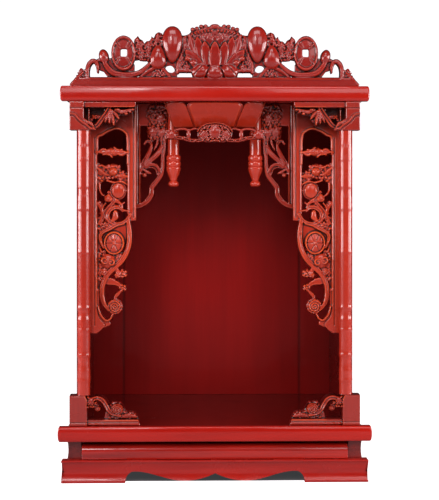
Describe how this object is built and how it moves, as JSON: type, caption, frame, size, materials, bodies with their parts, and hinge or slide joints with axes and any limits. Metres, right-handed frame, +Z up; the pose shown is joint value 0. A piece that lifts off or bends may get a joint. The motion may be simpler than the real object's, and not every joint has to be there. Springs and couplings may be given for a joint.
{
  "type": "household altar cabinet",
  "caption": "Red lacquered wooden altar cabinet with an open niche between two bamboo posts, carved panels, an openwork crest and a shallow drawer",
  "frame": {"origin": "middle of the underside, on the surface that the feet stand on", "axes": "Z points up, the open front faces -Y, X points to the right seen from the front"},
  "size_m": [0.48, 0.33, 0.7037],
  "materials": {
    "red_lacquer": "glossy red mahogany lacquer over carved wood",
    "deep_lacquer": "darker, thinner lacquer on the inner boards",
    "tray_wood": "plain planed wood"
  },
  "bodies": {
    "cabinet": {"plinth_front": "red_lacquer", "plinth_back": "red_lacquer", "plinth_left": "red_lacquer", "plinth_right": "red_lacquer", "bottom_board": "deep_lacquer", "waist_left": "deep_lacquer", "waist_right": "deep_lacquer", "waist_back": "deep_lacquer", "base_slab": "red_lacquer", "base_bracket_left": "red_lacquer", "base_bracket_right": "red_lacquer", "post_left": "red_lacquer", "post_right": "red_lacquer", "capital_bracket_left": "red_lacquer", "capital_bracket_right": "red_lacquer", "side_wall_left": "deep_lacquer", "side_wall_right": "deep_lacquer", "back_wall": "deep_lacquer", "side_panel_left": "red_lacquer", "side_panel_right": "red_lacquer", "spandrel_left": "red_lacquer", "spandrel_right": "red_lacquer", "pendant_left": "red_lacquer", "pendant_right": "red_lacquer", "valance": "red_lacquer", "canopy_centre": "red_lacquer", "canopy_left": "red_lacquer", "canopy_right": "red_lacquer", "roof_board": "red_lacquer", "crest": "red_lacquer"},
    "drawer": {"drawer_front": "red_lacquer", "drawer_side_left": "tray_wood", "drawer_side_right": "tray_wood", "drawer_back": "tray_wood", "drawer_bottom": "tray_wood"}
  },
  "joints": [
    {"name": "drawer_slide", "type": "slide", "parent": "cabinet", "child": "drawer", "axis": [0, -1, 0], "range_m": [0, 0.2]}
  ]
}
